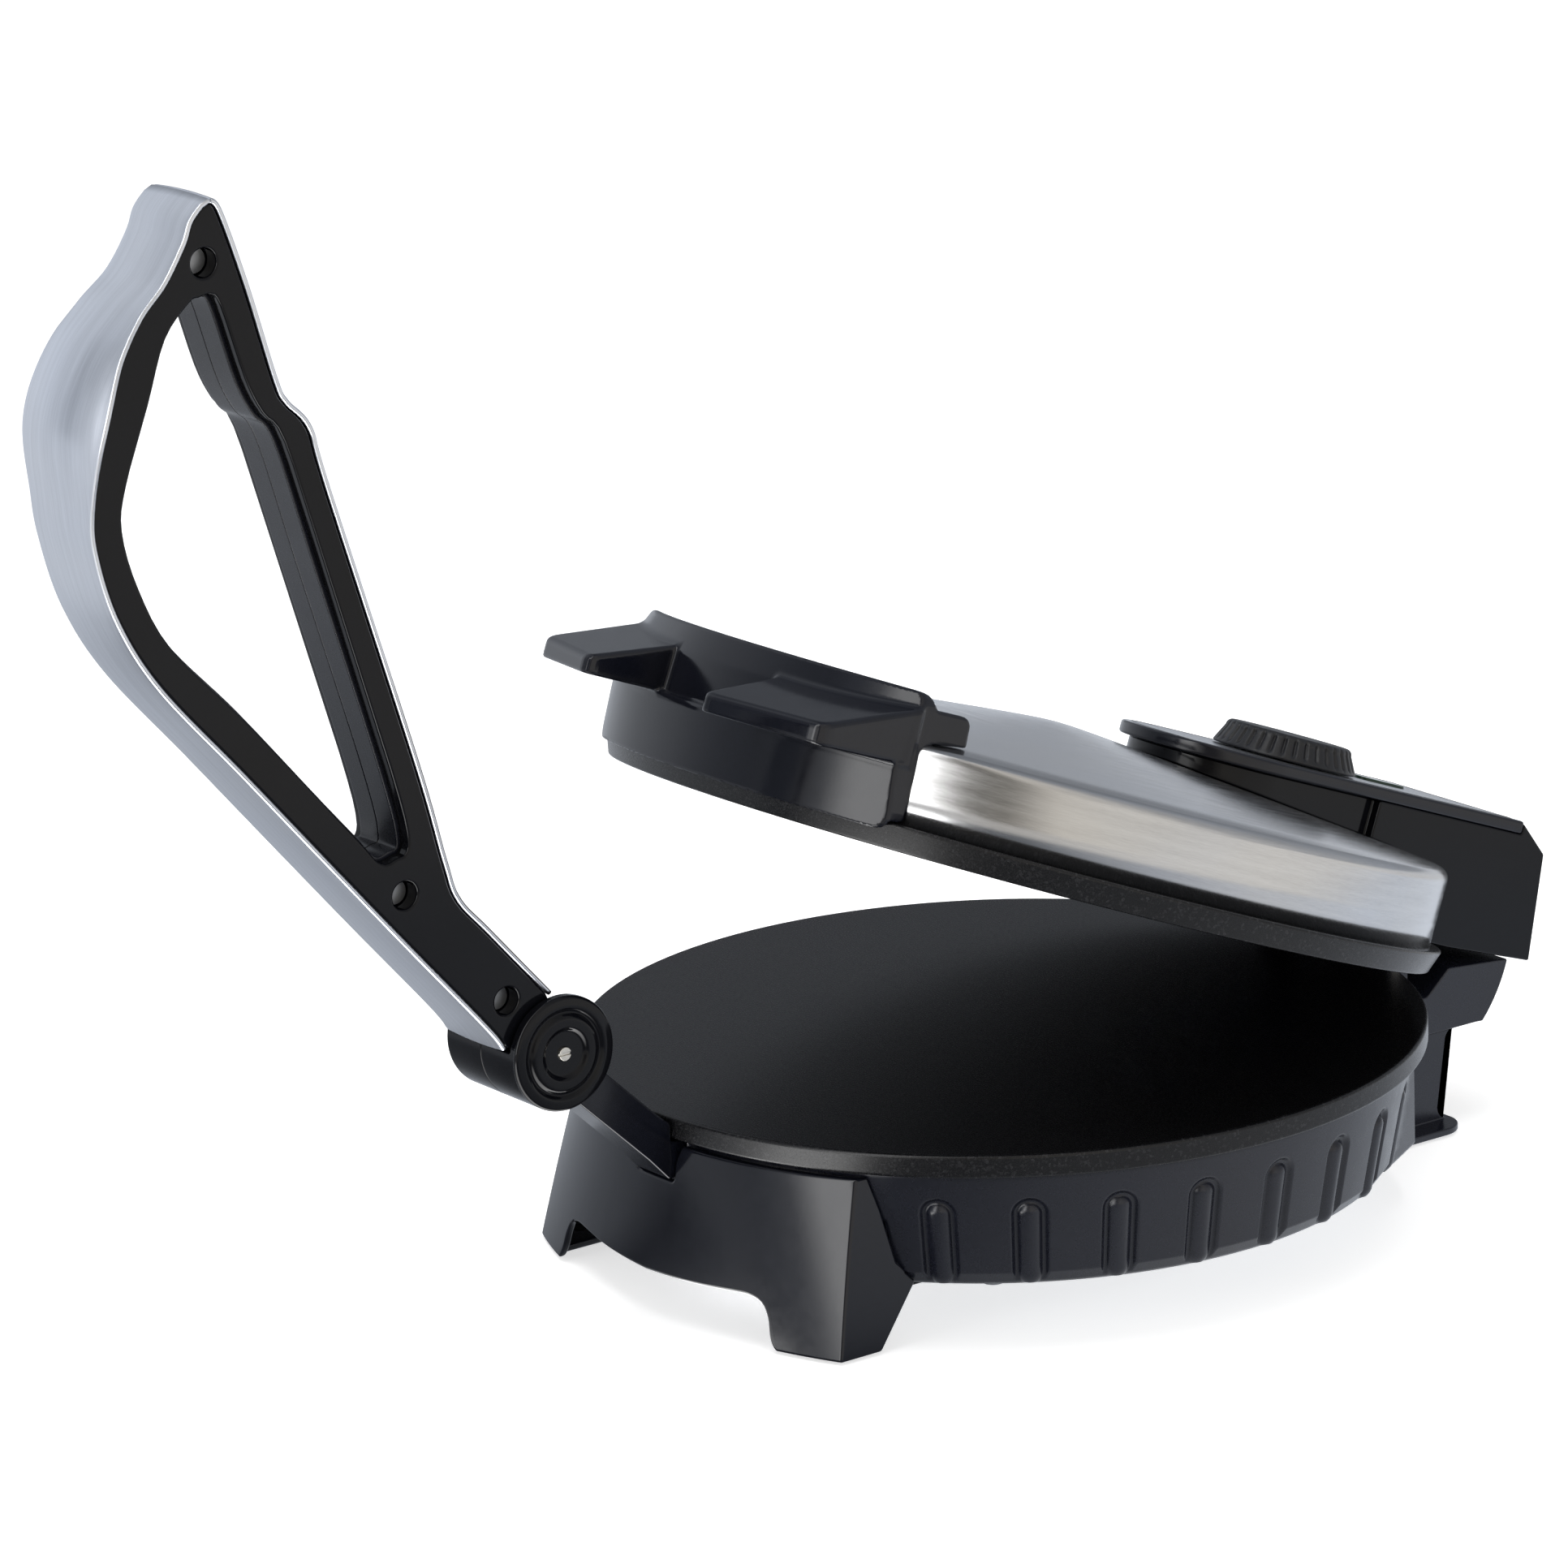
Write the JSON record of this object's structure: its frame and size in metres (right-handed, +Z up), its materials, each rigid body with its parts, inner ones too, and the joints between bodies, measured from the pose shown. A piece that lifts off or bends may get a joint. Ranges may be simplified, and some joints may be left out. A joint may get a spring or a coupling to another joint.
{
  "type": "electric roti maker",
  "caption": "Flatbread press with two round hot plates, a hinged steel lid with a thermostat box and a long press lever on a hub in front.",
  "frame": {"origin": "centre of the bounding box, on the surface that the feet stand on", "axes": "+Z up; +Y from the press lever in front to the lid's hinge and control box at the back; +X to the right of a user who stands in front"},
  "size_m": [0.2564, 0.5038, 0.3511],
  "materials": {
    "gloss_black": "gloss",
    "tub_plastic": "satin",
    "nonstick_cast": "dark non-stick coat, satin",
    "brushed_steel": "brushed",
    "plain_steel": "mill",
    "element_sheath": "heat-darkened steel sheath",
    "brass": "turned",
    "rubber": "matte",
    "ceramic": "matte",
    "green_lens": "tinted, gloss",
    "lamp_glass": "clear, warm tint"
  },
  "bodies": {
    "base": {"base_shell": "tub_plastic", "bottom_cover": "plain_steel", "lower_plate": "nonstick_cast", "lower_element": "element_sheath", "lower_reflector": "plain_steel", "plate_spacers": "plain_steel", "plate_screws": "plain_steel", "cover_plate_screws": "plain_steel", "front_skirt": "gloss_black", "skirt_screws": "plain_steel", "front_feet": "rubber", "press_arm": "gloss_black", "arm_bracket": "plain_steel", "arm_screws": "plain_steel", "hub_shell_near": "gloss_black", "hub_shell_far": "gloss_black", "hub_axle": "plain_steel", "rear_post": "tub_plastic", "hinge_knuckle": "tub_plastic", "hinge_pin": "plain_steel", "rear_feet": "rubber", "post_screws": "plain_steel", "cord_gland": "rubber", "terminal_block": "ceramic"},
    "lid": {"lid_cover": "brushed_steel", "upper_plate": "nonstick_cast", "upper_element": "element_sheath", "upper_reflector": "plain_steel", "cover_posts": "plain_steel", "cover_screws": "plain_steel", "front_grip": "gloss_black", "control_box": "gloss_black", "control_bezel": "gloss_black", "control_panel": "brushed_steel", "thermostat": "plain_steel", "indicator_lens": "green_lens", "indicator_lamp": "lamp_glass", "thermal_fuse": "ceramic"},
    "knob": {"thermostat_knob": "gloss_black", "knob_shaft": "plain_steel"},
    "lever": {"lever_strap": "brushed_steel", "lever_core_near": "gloss_black", "lever_core_far": "gloss_black", "lever_screws": "plain_steel", "lever_bushes": "brass"}
  },
  "joints": [
    {"name": "lid_hinge", "type": "hinge", "parent": "base", "child": "lid", "pos_m": [0, 0.1916, 0.0638], "axis": [1, 0, 0], "range_deg": [0, 21.15]},
    {"name": "lever_pivot", "type": "hinge", "parent": "base", "child": "lever", "pos_m": [0, -0.107, 0.0907], "axis": [-1, 0, 0], "range_deg": [0, 97]},
    {"name": "knob_turn", "type": "hinge", "parent": "lid", "child": "knob", "pos_m": [0, 0.17392, 0.11953], "axis": [0, 0.3608, 0.9326], "range_deg": [0, 270]}
  ],
  "couplings": [
    {"joint": "lever_pivot", "follows": "lid_hinge", "ratio": 4.55}
  ]
}
